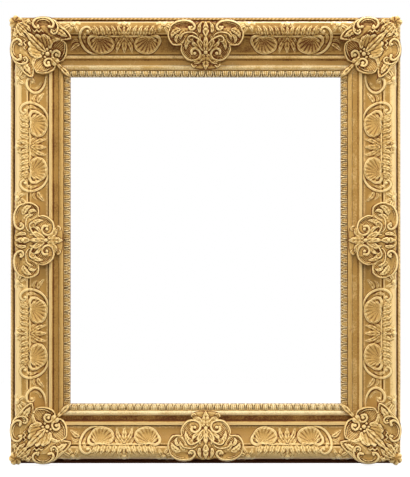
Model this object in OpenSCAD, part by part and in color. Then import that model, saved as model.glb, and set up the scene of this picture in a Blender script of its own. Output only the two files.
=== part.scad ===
// Ornate gilded picture frame, empty, to hang on a wall.
// The frame lies in the face plane XY with Z out of the wall while it is built,
// and is stood up at the end: X to the right, Z up, the front towards -Y, the wall plane at Y = 0.
// Distances u run inward from the outer edge of a rail, heights h run out from the wall.

/* [Picture and rebate] */
// Width of the picture that the rebate takes
picture_w = 508; // [480:1:700]
// Height of the picture that the rebate takes
picture_h = 610; // [605:1:900]
// Play round the picture in the rebate
picture_play = 1.5; // [0.5:0.5:3]
// Width of the lip that covers the edge of the picture
rebate_lip = 9.5; // [6:0.5:12]
// Depth of the step in the back of the sight slip that the picture's face rests in
ledge_step = 0.6; // [0.4:0.1:1]

/* [Back frame] */
// Thickness of the flat pine back frame, which is the depth of the rebate
back_t = 15; // [12:1:20]
// How far the back frame stands in from the outer edge
back_inset = 4; // [2:0.5:8]

/* [Moulding widths, from the outer edge inward] */
// Beaded outer edge
edge_w = 5.4; // [4:0.1:8]
// Steep side hollow
side_hollow_w = 3.4; // [2.5:0.1:6]
// Broad torus, the highest rim of the moulding: a steep outer slope that rises to its crown
torus_w = 24.5; // [22:0.5:26]
// Place of the torus' crown, as a share of the torus' width
torus_lean = 0.53; // [0.45:0.01:0.6]
// Thin quirk between the torus and the panel
quirk_w = 1.4; // [1:0.1:2]
// Scooped panel that carries the scroll castings
panel_w = 32.9; // [31:0.1:35]
// Shadow groove under the panel
groove_w = 2.4; // [1.5:0.1:4]
// Flat fillet
fillet_w = 7; // [5:0.5:9]
// Plain cove that rises towards the sight slip
cove_w = 10; // [8:0.5:12]
// Sight slip with its bead and leaf edge
slip_w = 22; // [20:0.5:24]

/* [Moulding heights, out from the wall] */
// Foot of the outer edge bead
edge_h = 18.5; // [17:0.5:24]
// Top of the side hollow
side_h = 34; // [30:0.5:38]
// Crown of the torus
torus_h = 54.2; // [52:0.1:58]
// Fall of the torus from its crown to its inner side
torus_drop = 8; // [6:0.5:10]
// Floor of the thin quirk
quirk_h = 43.6; // [42:0.1:44.5]
// Arris at the outer edge of the scooped panel
panel_h = 45.5; // [45:0.5:48]
// Inner edge of the scooped panel
panel_low_h = 27.7; // [26:0.1:29]
// Floor of the shadow groove
groove_h = 25.5; // [23:0.5:26]
// Flat fillet
fillet_h = 30.5; // [29:0.5:33]
// Floor of the cove, beside the fillet
cove_h = 24.5; // [23:0.5:26]
// Crown of the sight slip's outer bead
slip_bead_h = 28.5; // [27:0.5:30]
// Crown of the sight slip's leaf edge
slip_h = 27; // [25:0.5:28]
// Inner edge of the sight slip, beside the picture
sight_h = 19; // [17.5:0.5:21]

/* [Castings] */
// How far a cartouche's ground stands over the torus
boss_rise = 3; // [2:0.5:6]
// Half the length of a centre cartouche
centre_half = 66; // [60:1:68]
// Reach of a corner cartouche's leg along the rail
corner_reach = 109; // [100:1:112]
// Radius of the leafy boss on each outer corner
finial_r = 13.5; // [10:0.5:16]
// Half the length of a scroll panel between its outer scrolls
scroll_half = 79; // [76:1:82]
// Reach of the leaf sprig beyond the outer scroll
sprig_reach = 15; // [8:1:16]
// Place of a scroll panel, as a share of half the rail
scroll_place = 0.417; // [0.41:0.001:0.42]
// Radius of the rolled rims of the castings
rim_r = 2.2; // [1.6:0.1:3]
// Number of fan ribs in a corner cartouche
fan_ribs = 5; // [3:1:9]
// Number of ribs in each shell of a scroll panel
shell_ribs = 3; // [2:1:6]
// Diameter of the buds on the torus
bud_d = 9; // [7:0.5:11]
// Distance of the buds' middles from the outer edge
bud_u = 13; // [12:0.5:14]

/* [Screws] */
// Diameter of the long screws that hold the mouldings on the back frame
screw_d = 4; // [3.5:0.1:5]
// Length of the long screws
screw_l = 32; // [26:1:36]
// Diameter of the short screws of the hangers and turn buttons
short_screw_d = 3.2; // [2.8:0.1:3.6]
// Length of the short screws under the head
short_screw_l = 12; // [10:1:14]
// Clearance of a screw in its hole, all round
hole_clear = 0.15; // [0.1:0.05:0.3]

/* [Hangers] */
// Width of the strap
strap_w = 16; // [14:1:20]
// Length of the strap from the ring's pin to its lower end
strap_l = 58; // [50:1:70]
// Thickness of the strap
strap_t = 1.2; // [1:0.1:1.6]
// Diameter of the ring's wire
wire_d = 3.2; // [3:0.1:4]
// Width of the ring between the middles of its legs
ring_w = 24; // [22:0.5:30]
// Length of the ring's straight legs
ring_leg = 5; // [4:0.5:8]
// Running clearance of the ring's pin in its loop
pin_clear = 0.08; // [0.05:0.01:0.1]
// Distance of the hangers below the top edge
hanger_drop = 235; // [200:5:260]

/* [Turn buttons] */
// Width of a turn button
button_w = 11; // [9:0.5:13]
// Reach of a turn button from its screw
button_reach = 19; // [16:0.5:20]
// Thickness of a turn button
button_t = 1.4; // [1:0.1:2]
// Distance of the button screws from the rebate
button_back = 11; // [9:0.5:14]
// Play of a turn button between the wood and the screw's head
button_play = 0.15; // [0.1:0.05:0.3]
// Running clearance of a turn button on its screw, all round
turn_clear = 0.08; // [0.05:0.01:0.1]

/* [Hidden] */

// Sides and corners are numbered against the clock from the top
top = 0;
left = 1;
bottom = 2;
right = 3;

gold = [0.80, 0.63, 0.33];
pale_gold = [0.86, 0.72, 0.44];
dark_gold = [0.66, 0.48, 0.24];
pine = [0.72, 0.56, 0.38];
brass = [0.78, 0.64, 0.34];
steel = [0.62, 0.62, 0.64];

// Places along the moulding's width
torus_u = edge_w + side_hollow_w;
quirk_u = torus_u + torus_w;
panel_u = quirk_u + quirk_w;
groove_u = panel_u + panel_w;
fillet_u = groove_u + groove_w;
cove_u = fillet_u + fillet_w;
slip_u = cove_u + cove_w;
rail_w = slip_u + slip_w;
rebate_u = rail_w - rebate_lip;

sight_open_w = picture_w + 2 * picture_play - 2 * rebate_lip;
sight_open_h = picture_h + 2 * picture_play - 2 * rebate_lip;
outer_w = sight_open_w + 2 * rail_w;
outer_h = sight_open_h + 2 * rail_w;

// A height and a depth that every casting lies within before it is cut
above_all = 100;
below_face = back_t + 1;
step = 0.02;

// Length of a side's rail and distance from the frame's centre to its outer edge
function run(k) = k % 2 == 0 ? outer_w : outer_h;
function reach(k) = k % 2 == 0 ? outer_h / 2 : outer_w / 2;

// Part of an ellipse as points, from angle a0 to a1
function oval(c, rx, ry, a0, a1, n) =
  [for (i = [0:n]) let (a = a0 + (a1 - a0) * i / n) [c.x + rx * cos(a), c.y + ry * sin(a)]];

// The moulding's face, from the outer edge to the slip, as [u, h] with u never falling
crown_u = torus_u + torus_w * torus_lean;
torus_tip = torus_w * (1 - torus_lean);
torus_foot_h = side_h + 3;
edge_bead = oval([edge_w / 2, edge_h], edge_w / 2, 2.5, 180, 0, 4);
side_hollow = oval([edge_w + step, side_h], side_hollow_w - 3 * step, side_h - edge_h + 0.5, -90, 0, 4);
outer_slope = oval([crown_u, torus_foot_h], torus_w * torus_lean - step, torus_h - torus_foot_h, 180, 90, 5);
inner_round = oval([crown_u, torus_h - torus_drop], torus_tip - step, torus_drop, 70, 0, 4);
// The scoop starts steeply behind the arris and flattens towards the groove
arris_w = 2.5;
scoop_rx = (panel_w - arris_w) / cos(25);
scoop_ry = (panel_h - 0.6 - panel_low_h) / (1 - sin(25));
panel_line = concat(
  [[panel_u + 0.6, panel_h]],
  oval([groove_u - step, panel_low_h + scoop_ry], scoop_rx, scoop_ry, 205, 270, 6)
);
fillet_slope = 2.2;
cove_rise = 1;
cove_line = [
  [cove_u + 1, cove_h], [cove_u + cove_w / 2, cove_h + cove_rise / 4], [slip_u - step, cove_h + cove_rise]
];
face_line = concat(
  edge_bead,
  side_hollow,
  [[torus_u - step, torus_foot_h]],
  outer_slope,
  inner_round,
  [[quirk_u, quirk_h], [panel_u - step, quirk_h], [panel_u, panel_h - 0.6]],
  panel_line,
  [[groove_u, groove_h], [fillet_u - step, groove_h], [fillet_u, fillet_h], [cove_u - fillet_slope, fillet_h]],
  cove_line
);
bead_r = 4.5;
slip_line = concat(
  oval([slip_u + bead_r, slip_bead_h - bead_r], bead_r, bead_r, 175, 0, 6),
  [[slip_u + 10, slip_bead_h - bead_r], [slip_u + 10.8, slip_h - 1.6]],
  oval([rail_w - 7.5, sight_h], 7.5, slip_h - sight_h, 90, 0, 4)
);

// Height of the moulding's face, and of the smoother ground that the cartouches ride on
function face(u) = lookup(u, face_line);
boss_line = [
  [-20, torus_h - 12], [0, torus_h - 6], [torus_u, torus_h + boss_rise - 1], [crown_u, torus_h + boss_rise],
  [panel_u, torus_h + boss_rise - 1.5], [panel_u + 13, torus_h - 4], [panel_u + 26, torus_h - 11],
  [cove_u, fillet_h + 5], [slip_u, slip_bead_h + 3.5], [rail_w, slip_h + 2]
];
function boss(u) = lookup(u, boss_line);

// A stroke's points [along, u, lift] put on the moulding's face, on the ground of a centre cartouche
// and on the ground of a corner cartouche, where both distances run in from the outer edges
function on_face(p) = [p.x, -p.y, face(p.y) + p.z];
function on_boss(p) = [p.x, -p.y, boss(p.y) + p.z];
function on_corner(p) = [p.x, -p.y, boss(min(p.x, p.y)) + p.z];

// A scroll that winds round c on radii rx, ry from angle a0 to a1, its last part closing in to the share s
function scroll_line(c, rx, ry, a0, a1, s, lift, n) = [
  for (i = [0:n])
    let (t = i / n, a = a0 + (a1 - a0) * t, k = 1 - (1 - s) * pow(max(0, t - 0.55) / 0.45, 1.6))
      [c.x + k * rx * cos(a), c.y - k * ry * sin(a), lift]
];

// A rounded strand along 3-D points, its radius swelling from both ends to r, its underside sunk in
// the ground by this share of the radius
sunk = 2.4;
module strand(points, r, sides = 3, thin = 0.45) {
  n = len(points);
  rings = [
    for (i = [0:n - 1])
      let (
        a = points[max(i - 1, 0)],
        b = points[min(i + 1, n - 1)],
        t = atan2(b.y - a.y, b.x - a.x),
        q = r * (thin + (1 - thin) * sin(180 * i / (n - 1)))
      )
        for (k = [0:sides - 1])
          let (w = 90 + 360 * k / sides)
            [points[i].x - q * cos(w) * sin(t), points[i].y + q * cos(w) * cos(t),
             points[i].z + q * sin(w) * (sin(w) < 0 ? sunk : 1)]
  ];
  walls = [
    for (i = [0:n - 2], k = [0:sides - 1])
      let (a = i * sides + k, b = i * sides + (k + 1) % sides)
        each [[a, a + sides, b], [b, a + sides, b + sides]]
  ];
  caps = [
    for (k = [1:sides - 2])
      each [[0, k, k + 1], [(n - 1) * sides, (n - 1) * sides + k + 1, (n - 1) * sides + k]]
  ];
  polyhedron(rings, concat(walls, caps));
}

// A leaf from a to b, w wide, with a raised midrib of height r, its underside sunk by the depth
module blade(a, b, w, r, sink = 3) {
  t = atan2(b.y - a.y, b.x - a.x);
  side = [-sin(t), cos(t), 0];
  rings = [
    for (s = [[0, 0.35, 0.6], [0.45, 1, 1], [0.8, 0.55, 0.7]])
      let (c = a + (b - a) * s[0], half = side * w / 2 * s[1], low = [0, 0, sink])
        each [c - half - low, c + half - low, c + [0, 0, r * s[2]]]
  ];
  walls = [
    for (i = [0:1], k = [0:2])
      let (p = i * 3 + k, q = i * 3 + (k + 1) % 3)
        each [[p, p + 3, q], [q, p + 3, q + 3]]
  ];
  polyhedron(
    concat(rings, [b - [0, 0, sink / 2]]),
    concat([[0, 1, 2]], walls, [for (k = [0:2]) [6 + k, 9, 6 + (k + 1) % 3]])
  );
}

// A straight rib between two points
module rib(a, b, r) {
  hull() {
    translate(a - [0, 0, r]) cylinder(h = 2 * r, r1 = r, r2 = 0, $fn = 4);
    translate(b - [0, 0, r]) cylinder(h = 2 * r, r1 = r, r2 = 0, $fn = 4);
  }
}

// A round bud, and a low button in the eye of a scroll
module bud(p, r, parts = 6) {
  hull() translate(p) sphere(r, $fn = parts);
}

module eye(p, r) {
  translate(p - [0, 0, r]) cylinder(h = 1.7 * r, r1 = r, r2 = 0.5 * r, $fn = 6);
}

// Stand the face plane up against the wall and go to a side or a corner
module stand_up() {
  rotate([90, 0, 0]) children();
}

module at_side(k) {
  stand_up() rotate(90 * k) translate([0, reach(k), 0]) children();
}

module at_corner(k) {
  x = (k < 2 ? -1 : 1) * outer_w / 2;
  y = (k % 3 == 0 ? 1 : -1) * outer_h / 2;
  stand_up() translate([x, y, 0]) rotate(90 * k) children();
}

// A length of moulding along X, its outer edge on the X axis
module prism(line, foot, from, to) {
  section = concat([[line[0][0], foot]], line, [[line[len(line) - 1][0], foot]]);
  translate([from, 0, 0]) rotate([90, 0, 90]) linear_extrude(to - from)
    polygon([for (p = section) [-p[0], p[1]]]);
}

// The wedge of a mitred rail: full length at the outer edge, shorter by the width at each end
module mitre_wedge(length, width) {
  linear_extrude(above_all)
    polygon([[-length / 2, 0], [length / 2, 0], [length / 2 - width, -width], [width - length / 2, -width]]);
}

// Places of the long screws along a side, as [along, u]
screw_u = crown_u;
function frame_screws_at(k) =
  [for (s = k % 2 == 0 ? [-0.4, 0.4] : [-0.48, 0, 0.48]) [s * run(k) / 2, screw_u]];

// Mitred face moulding of a side
module rail(k) {
  color(gold) at_side(k) difference() {
    intersection() {
      prism(face_line, back_t, -run(k) / 2, run(k) / 2);
      mitre_wedge(run(k), rail_w);
    }
    for (p = frame_screws_at(k))
      translate([p.x, -p.y, -1]) cylinder(h = screw_l + 2, d = screw_d + 2 * hole_clear, $fn = 32);
  }
}

// Flat pine back frame, half-lapped at the corners: the top and bottom keep the front half there
lap_h = back_t / 2;
module back_piece(k) {
  upright = k % 2 == 1;
  length = run(k) - 2 * back_inset;
  width = rebate_u - back_inset;
  color(pine) at_side(k) difference() {
    translate([-length / 2, -rebate_u, 0]) cube([length, width, back_t]);
    for (end = [-1, 1])
      translate([end * (length - width) / 2, -(rebate_u + back_inset) / 2, upright ? back_t : 0])
        cube([width, width * 3, 2 * lap_h], center = true);
    for (p = frame_screws_at(k))
      translate([p.x, -p.y, 0]) long_screw_hole();
    for (p = concat(hanger_holes(k), button_screws_at(k)))
      translate([p.x, -p.y, -1])
        cylinder(h = short_screw_l + 2, d = short_screw_d + 2 * hole_clear, $fn = 32);
  }
}

// Countersunk hole of a long screw, from the back
module long_screw_hole() {
  bore = screw_d + 2 * hole_clear;
  translate([0, 0, -1]) cylinder(h = back_t + 2, d = bore, $fn = 32);
  translate([0, 0, -step]) cylinder(h = screw_d / 2 + hole_clear, d1 = bore + screw_d, d2 = bore, $fn = 32);
}

// Sight slip with its bead and rounded leaf edge, stepped at the back for the picture
module sight_slip(k) {
  color(pale_gold) at_side(k) difference() {
    intersection() {
      prism(slip_line, back_t, -run(k) / 2, run(k) / 2);
      mitre_wedge(run(k), rail_w);
    }
    translate([-run(k) / 2, -rail_w - 1, back_t - 1]) cube([run(k), rebate_lip + 1, ledge_step + 1]);
  }
}

// Castings hang over the torus no lower than this
overhang_h = torus_foot_h + 1;

// Cut a casting's underside to the moulding that it is glued on
module seated_on_rail(from, to) {
  difference() {
    union() children();
    prism(concat(face_line, slip_line), -1, from, to);
    translate([from, -rail_w, -above_all]) cube([to - from, above_all * 2, above_all + below_face]);
    translate([from, -torus_u, -above_all]) cube([to - from, above_all, above_all + overhang_h]);
  }
}

module corner_moulding() {
  side = corner_reach * 2;
  for (turned = [0, 1])
    mirror([turned, turned, 0]) intersection() {
      prism(concat(face_line, slip_line), -1, 0, side);
      translate([0, 0, -1]) linear_extrude(above_all)
        polygon([[0, step], [side, step], [side, -side - step], [0, -step]]);
    }
}

// Both halves of a casting: about its middle, or about a corner's mitre
module both_halves() {
  children();
  mirror([1, 0, 0]) children();
}

module both_legs() {
  children();
  mirror([1, 1, 0]) children();
}

// Corner cartouche: half its outline, from the mitre at the outer corner round the leg to the inner mitre
leg_line = [
  [8, 8], [26, 6], [50, 4], [72, 9], [92, 20],
  [corner_reach - 6, 27], [corner_reach, 36], [corner_reach - 3, 41], [95, 41.5],
  [96, 47], [100, 58], [98, 69], [91, 78], [81, 81]
];
// Curl of the inner lobe's rim and its eye, middle of the arch over the torus
inner_curl = [[82, 79, 1.4], [75, 72, 1.8], [75, 63, 2], [82, 61, 2]];
inner_eye = [84, 68, 1];
arch_c = [61, 16];
// Foot of the ribbed fan on the mitre, and the length of its ribs
fan_foot = 66;
fan_l = 38;
// Distance of the leafy boss in from both outer edges
finial_in = 10;

module corner(k) {
  color(gold) at_corner(k) difference() {
    union() {
      // Ground, lobed outline under a hipped top
      intersection() {
        translate([0, 0, below_face]) linear_extrude(above_all)
          polygon(concat([for (p = leg_line) [p.x, -p.y]],
            [for (i = [len(leg_line) - 2:-1:1]) [leg_line[i].y, -leg_line[i].x]]));
        both_legs() prism(boss_line, 0, 0, 2 * corner_reach);
      }
      both_legs() {
        // Rolled rim of the outer lobe and of the inner lobe, which curls into its eye
        strand([for (p = [for (i = [3:8]) leg_line[i]]) on_corner([p.x - 0.6, p.y, 0.6])], rim_r, 3, 0.6);
        inner_rim = concat([for (i = [8:12]) [leg_line[i].x - 0.6, leg_line[i].y, 0.8]], inner_curl);
        strand([for (p = inner_rim) on_corner(p)], rim_r, 3, 0.6);
        eye(on_corner(inner_eye), 3);
        // Arch scroll that bulges out over the torus
        arch = scroll_line(arch_c, 17, 14, 200, -40, 0.6, 2, 8);
        strand([for (p = arch) on_corner(p)], rim_r * 1.3, 4, 0.5);
        eye(on_corner([75, 20, 2]), 3.4);
        // Leaf between the arch and the leg, leaf field beside the fan, leaf between boss and arch
        blade(on_corner([74, 26, 0]), on_corner([98, 30, 0]), 11, 3);
        blade(on_corner([60, 48, 0]), on_corner([86, 50, 0]), 13, 2.6);
        blade(on_corner([28, 19, 0]), on_corner([46, 14, 1]), 9, 4);
      }
      // Ribbed fan along the mitre with its button
      for (i = [0:fan_ribs - 1])
        let (a = 45 + (i - (fan_ribs - 1) / 2) * 60 / (fan_ribs - 1))
          rib(on_corner([fan_foot, fan_foot, 3]),
              on_corner([fan_foot - fan_l * cos(a), fan_foot - fan_l * sin(a), 4]), 3.2);
      eye(on_corner([fan_foot + 1, fan_foot + 1, 4]), 4.5);
      // Leafy boss on the outer corner and the leaf between it and the fan
      translate([finial_in, -finial_in, torus_h - 7]) scale([1, 1, 0.8]) bud([0, 0, 0], finial_r, 8);
      blade([14, -14, torus_h + 3], [31, -31, torus_h + 4], 14, 4, 8);
      // Leaf that runs down over the cove to the sight corner
      blade(on_corner([70, 70, 2]), on_corner([rail_w - 4, rail_w - 4, 2]), 13, 3, 12);
    }
    corner_moulding();
    far = 4 * above_all;
    translate([-above_all, above_all - far, -above_all]) cube([far, far, above_all + below_face]);
    translate([-above_all, -torus_u, -above_all]) cube([far, above_all, above_all + overhang_h]);
    translate([torus_u - above_all, above_all - far, -above_all])
      cube([above_all, far, above_all + overhang_h]);
  }
}

// Centre cartouche: half its outline, from the crown down to the foot
lobe_line = [
  [0, 7], [12, 8], [34, 3], [48, 9], [centre_half - 6, 18],
  [centre_half, 32], [centre_half - 4, 43], [centre_half - 11, 48.5], [40, 49],
  [42, 56], [38.5, 66], [31, 76], [22, 82], [25, 87], [20, slip_u + 6], [0, slip_u + 6]
];

centre_curl = [[14, 78, 1.4], [10, 69, 1.8], [14, 61, 2], [21, 62, 2]];
module centre(k) {
  color(gold) at_side(k) seated_on_rail(-2 * centre_half, 2 * centre_half) {
    intersection() {
      translate([0, 0, below_face]) linear_extrude(above_all)
        polygon(concat([for (p = lobe_line) [p.x, -p.y]],
          [for (i = [len(lobe_line) - 2:-1:1]) [-lobe_line[i].x, -lobe_line[i].y]]));
      prism(boss_line, 0, -2 * centre_half, 2 * centre_half);
    }
    both_halves() {
      // Rolled rims of the outer and the inner lobe
      strand([for (p = [for (i = [3:8]) lobe_line[i]]) on_boss([p.x - 0.6, p.y, 0.6])], rim_r, 3, 0.6);
      inner_rim = concat([for (i = [8:12]) [lobe_line[i].x - 0.6, lobe_line[i].y, 0.8]], centre_curl);
      strand([for (p = inner_rim) on_boss(p)], rim_r, 3, 0.6);
      eye(on_boss([20, 68, 1]), 3);
      // Upper scroll, small arch and the foot's volute
      strand([for (p = scroll_line([33, 17], 14, 13, 200, -70, 0.55, 2, 8)) on_boss(p)], rim_r * 1.2, 4, 0.5);
      strand([for (p = scroll_line([21, 43], 9, 7, 190, -20, 0.8, 1.4, 5)) on_boss(p)], rim_r * 0.8);
      eye(on_boss([22, 86, 1]), 3.6);
      // Leaf lobes at the shoulder, petals of the stem and rays of the crown
      blade(on_boss([44, 30, 0]), on_boss([60, 27, 0]), 10, 3);
      blade(on_boss([1, 62, 2]), on_boss([9, 38, 2]), 7, 3);
      rib(on_boss([5, 28, 1]), on_boss([14, 13, 1]), 2.6);
    }
    blade(on_boss([0, 64, 3]), on_boss([0, 27, 3]), 8, 4);
    rib(on_boss([0, 27, 2]), on_boss([0, 9, 2]), 3);
    rib(on_boss([0, 70, 1]), on_boss([0, 90, 1]), 3);
  }
}

// Scroll panel: two shells in curled rims, a strap between them, outer scrolls, leaves and a bud.
// Near the middle of a short rail there is no room for the outer scroll.
bowl_c = [42, 50];
bowl_rx = 21.5;
bowl_ry = 14.5;
strap_end = 34;
strap_u = 36;
// Outer scroll, counted back from the end of the panel
outer_line = [
  [-15, 22, 3], [-6, 29, 3], [-1, 37, 2.4], [0, 46, 1.6], [-6, 56, 1], [-18, 63, 1], [-30, 64.5, 1]
];
ground_t = 1.2;

module half_scrolls(outer) {
  // Thin ground of the shell and of the middle
  intersection() {
    translate([0, 0, below_face]) linear_extrude(above_all) {
      translate([bowl_c.x, -bowl_c.y]) scale([bowl_rx, bowl_ry]) circle(1, $fn = 12);
      translate([-step, -bowl_c.y - 8]) square([bowl_c.x - bowl_rx + step, bowl_c.y + 8 - strap_u]);
    }
    translate([0, 0, ground_t]) prism(face_line, 0, -step, bowl_c.x + bowl_rx + 1);
  }
  // Curled rim of the bowl and the ribs of its shell
  bowl_rim = scroll_line(bowl_c, -bowl_rx, bowl_ry, 62, -232, 0.6, 2.2, 11);
  strand([for (p = bowl_rim) on_face(p)], rim_r * 1.25, 4, 0.5);
  for (i = [0:shell_ribs - 1])
    let (a = 205 + 130 * (i + 0.5) / shell_ribs)
      rib(on_face([bowl_c.x, bowl_c.y - 6, 1]),
          on_face([bowl_c.x + bowl_rx * 0.8 * cos(a), bowl_c.y - bowl_ry * 0.8 * sin(a), 1.5]), 2.4);
  if (outer) {
    strand([for (p = outer_line) on_face([scroll_half + p.x, p.y, p.z])], rim_r, 3, 0.7);
    blade(on_face([scroll_half - 4, 49, 0]), on_face([scroll_half + sprig_reach, 60, 0]), 9, 2.6);
  }
  // Leaf fringe that rises from the strap to the torus
  for (i = [0:2])
    blade(on_face([12 + 11 * i, strap_u + 1, 2]), on_face([18 + 12 * i, 24, 2]), 8, 2.4, 4);
  blade(on_face([3, 42, 1]), on_face([11, 62, 1]), 7, 2.6);
}

module scroll_panel(k, along, flip) {
  color(gold) at_side(k) seated_on_rail(-run(k) / 2, run(k) / 2)
    translate([along, 0, 0]) mirror([flip, 0, 0]) {
      half_scrolls(true);
      mirror([1, 0, 0]) half_scrolls(k % 2 == 1);
      strand([for (s = [-strap_end:strap_end / 2:strap_end]) on_face([s, strap_u, 1.2])], rim_r * 1.1, 3, 1);
      blade(on_face([0, 38, 2]), on_face([0, 65, 1]), 8, 3.4);
      // Bud on the torus with its stem
      blade(on_face([0, strap_u + 1, 3]), on_face([0, bud_u + 6, 2]), 7, 3, 8);
      bud([0, -bud_u, face(bud_u) + 1], bud_d / 2);
    }
}

// Plain crescent scroll between a corner leg and a scroll panel, on the long sides only
crescent_line = [
  [4, 34, 2], [16, 31, 3], [26, 36, 3], [29, 44, 3], [24, 54, 2.5], [13, 60, 2], [-3, 63, 1.5]
];
module crescent(k, flip) {
  color(dark_gold) at_side(k) seated_on_rail(-run(k) / 2, run(k) / 2)
    mirror([flip, 0, 0]) translate([corner_reach - run(k) / 2, 0, 0]) {
      strand([for (p = crescent_line) on_face(p)], rim_r * 1.1, 4, 0.5);
      intersection() {
        translate([0, 0, below_face]) linear_extrude(above_all)
          polygon([for (p = crescent_line) [p.x, -p.y]]);
        translate([0, 0, ground_t]) prism(face_line, 0, -corner_reach, corner_reach);
      }
      eye(on_face([8, 39, 1]), 3);
    }
}

// Buds on the torus beside each corner cartouche and each centre cartouche
bud_from_centre = centre_half + 10;
bud_from_corner = corner_reach + 5;
module buds(k) {
  color(pale_gold) at_side(k) seated_on_rail(-run(k) / 2, run(k) / 2)
    for (s = [-1, 1], at = [bud_from_centre, run(k) / 2 - bud_from_corner])
      translate([s * at, -bud_u, face(bud_u) + 1]) {
        bud([0, 0, 0], bud_d / 2);
        blade([0, 0, 1], [-7 * s, -9, face(bud_u + 9) - face(bud_u)], 7, 2.5, 6);
      }
}

// Long countersunk screws from the back frame into the mouldings
module frame_screws() {
  color(steel) for (k = [top:right], p = frame_screws_at(k))
    at_side(k) translate([p.x, -p.y, 0]) {
      cylinder(h = screw_l, d = screw_d, $fn = 32);
      cylinder(h = screw_d / 2, d1 = 2 * screw_d, d2 = screw_d, $fn = 32);
    }
}

// Strap hangers: screwed to the back of the two uprights, the ring's pin in the rolled upper end
hanger_u = (back_inset + rebate_u) / 2;
pin_r = wire_d / 2;
roll_r = pin_r + pin_clear + strap_t;
roll_gap = 0.2;
pin_out = roll_r + roll_gap;
// From the middle of a side to the ring's pin, and the strap's screws below it
function hanger_along(k) = (k == left ? 1 : -1) * (outer_h / 2 - hanger_drop);
function hanger_down(k) = k == left ? -1 : 1;
hanger_steps = [for (d = [0, 20]) ring_leg + ring_w / 2 + wire_d / 2 + 1.2 * short_screw_d + 1.5 + d];
function hanger_holes(k) =
  k % 2 == 0 ? [] : [for (d = hanger_steps) [hanger_along(k) + hanger_down(k) * d, hanger_u]];

module hanger(k) {
  color(brass) at_side(k) translate([hanger_along(k), -hanger_u, 0]) difference() {
    union() {
      translate([0, -strap_w / 2, -strap_t]) mirror([hanger_down(k) < 0 ? 1 : 0, 0, 0])
        cube([strap_l - strap_w / 2, strap_w, strap_t]);
      translate([hanger_down(k) * (strap_l - strap_w / 2), 0, -strap_t])
        cylinder(h = strap_t, d = strap_w, $fn = 48);
      translate([0, strap_w / 2, -pin_out]) rotate([90, 0, 0]) cylinder(h = strap_w, r = roll_r, $fn = 48);
    }
    translate([0, strap_w / 2 + 1, -pin_out]) rotate([90, 0, 0])
      cylinder(h = strap_w + 2, r = pin_r + pin_clear, $fn = 48);
    for (d = hanger_steps)
      translate([hanger_down(k) * d, 0, -strap_t - 1])
        cylinder(h = strap_t + 2, d = short_screw_d + 2 * hole_clear, $fn = 32);
  }
}

// Half-round ring: its pin through the roll, two legs and a half circle above
module ring(k) {
  up = hanger_down(k) > 0 ? 180 : 0;
  pin_l = ring_w + wire_d * 1.5;
  color(brass) at_side(k) translate([hanger_along(k), -hanger_u, -pin_out]) rotate(up) {
    translate([0, pin_l / 2, 0]) rotate([90, 0, 0]) cylinder(h = pin_l, d = wire_d, $fn = 48);
    for (s = [-1, 1])
      translate([0, s * ring_w / 2, 0]) rotate([0, 90, 0]) cylinder(h = ring_leg, d = wire_d - 0.2, $fn = 48);
    translate([ring_leg, 0, 0]) rotate(-90) rotate_extrude(angle = 180, $fn = 64)
      translate([ring_w / 2, 0]) circle(d = wire_d - 0.2, $fn = 32);
  }
}

// Round-headed short screw, its head from the height z outwards
module short_screw(z) {
  translate([0, 0, -z - 0.1]) cylinder(h = short_screw_l + z, d = short_screw_d, $fn = 32);
  translate([0, 0, -z - 2]) cylinder(h = 2, d1 = short_screw_d * 1.2, d2 = short_screw_d * 2.1, $fn = 32);
}

module hanger_screws() {
  color(steel) for (k = [left, right], p = hanger_holes(k))
    at_side(k) translate([p.x, -p.y, 0]) short_screw(strap_t);
}

// Turn buttons: one on each short side and two on each long side, parked along the rail
button_u = rebate_u - button_back;
function button_screws_at(k) = [for (s = k % 2 == 0 ? [0] : [-0.42, 0.42]) [s * run(k) / 2, button_u]];

module turn_button(k, i) {
  p = button_screws_at(k)[i];
  color(brass) at_side(k) translate([p.x, -p.y, -button_play - button_t]) difference() {
    union() {
      cylinder(h = button_t, d = button_w, $fn = 48);
      translate([0, -button_w * 0.36, 0]) cube([button_reach - button_w * 0.36, button_w * 0.72, button_t]);
      translate([button_reach - button_w * 0.36, 0, 0]) cylinder(h = button_t, r = button_w * 0.36, $fn = 48);
    }
    translate([0, 0, -1]) cylinder(h = button_t + 2, d = short_screw_d + 2 * turn_clear, $fn = 32);
  }
}

module button_screws() {
  color(steel) for (k = [top:right], p = button_screws_at(k))
    at_side(k) translate([p.x, -p.y, 0]) short_screw(button_t + 2 * button_play);
}

rail(top);  // rail_top
rail(left);  // rail_left
rail(bottom);  // rail_bottom
rail(right);  // rail_right
back_piece(top);  // back_top
back_piece(left);  // back_left
back_piece(bottom);  // back_bottom
back_piece(right);  // back_right
sight_slip(top);  // sight_top
sight_slip(left);  // sight_left
sight_slip(bottom);  // sight_bottom
sight_slip(right);  // sight_right
corner(0);  // corner_top_left
corner(1);  // corner_bottom_left
corner(2);  // corner_bottom_right
corner(3);  // corner_top_right
centre(top);  // centre_top
centre(left);  // centre_left
centre(bottom);  // centre_bottom
centre(right);  // centre_right
scroll_panel(top, -scroll_place * outer_w / 2, 1);  // scrolls_top_left
scroll_panel(top, scroll_place * outer_w / 2, 0);  // scrolls_top_right
scroll_panel(bottom, scroll_place * outer_w / 2, 0);  // scrolls_bottom_left
scroll_panel(bottom, -scroll_place * outer_w / 2, 1);  // scrolls_bottom_right
scroll_panel(left, scroll_place * outer_h / 2, 0);  // scrolls_left_upper
scroll_panel(left, -scroll_place * outer_h / 2, 1);  // scrolls_left_lower
scroll_panel(right, -scroll_place * outer_h / 2, 1);  // scrolls_right_upper
scroll_panel(right, scroll_place * outer_h / 2, 0);  // scrolls_right_lower
crescent(left, 1);  // crescent_left_upper
crescent(left, 0);  // crescent_left_lower
crescent(right, 0);  // crescent_right_upper
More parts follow.
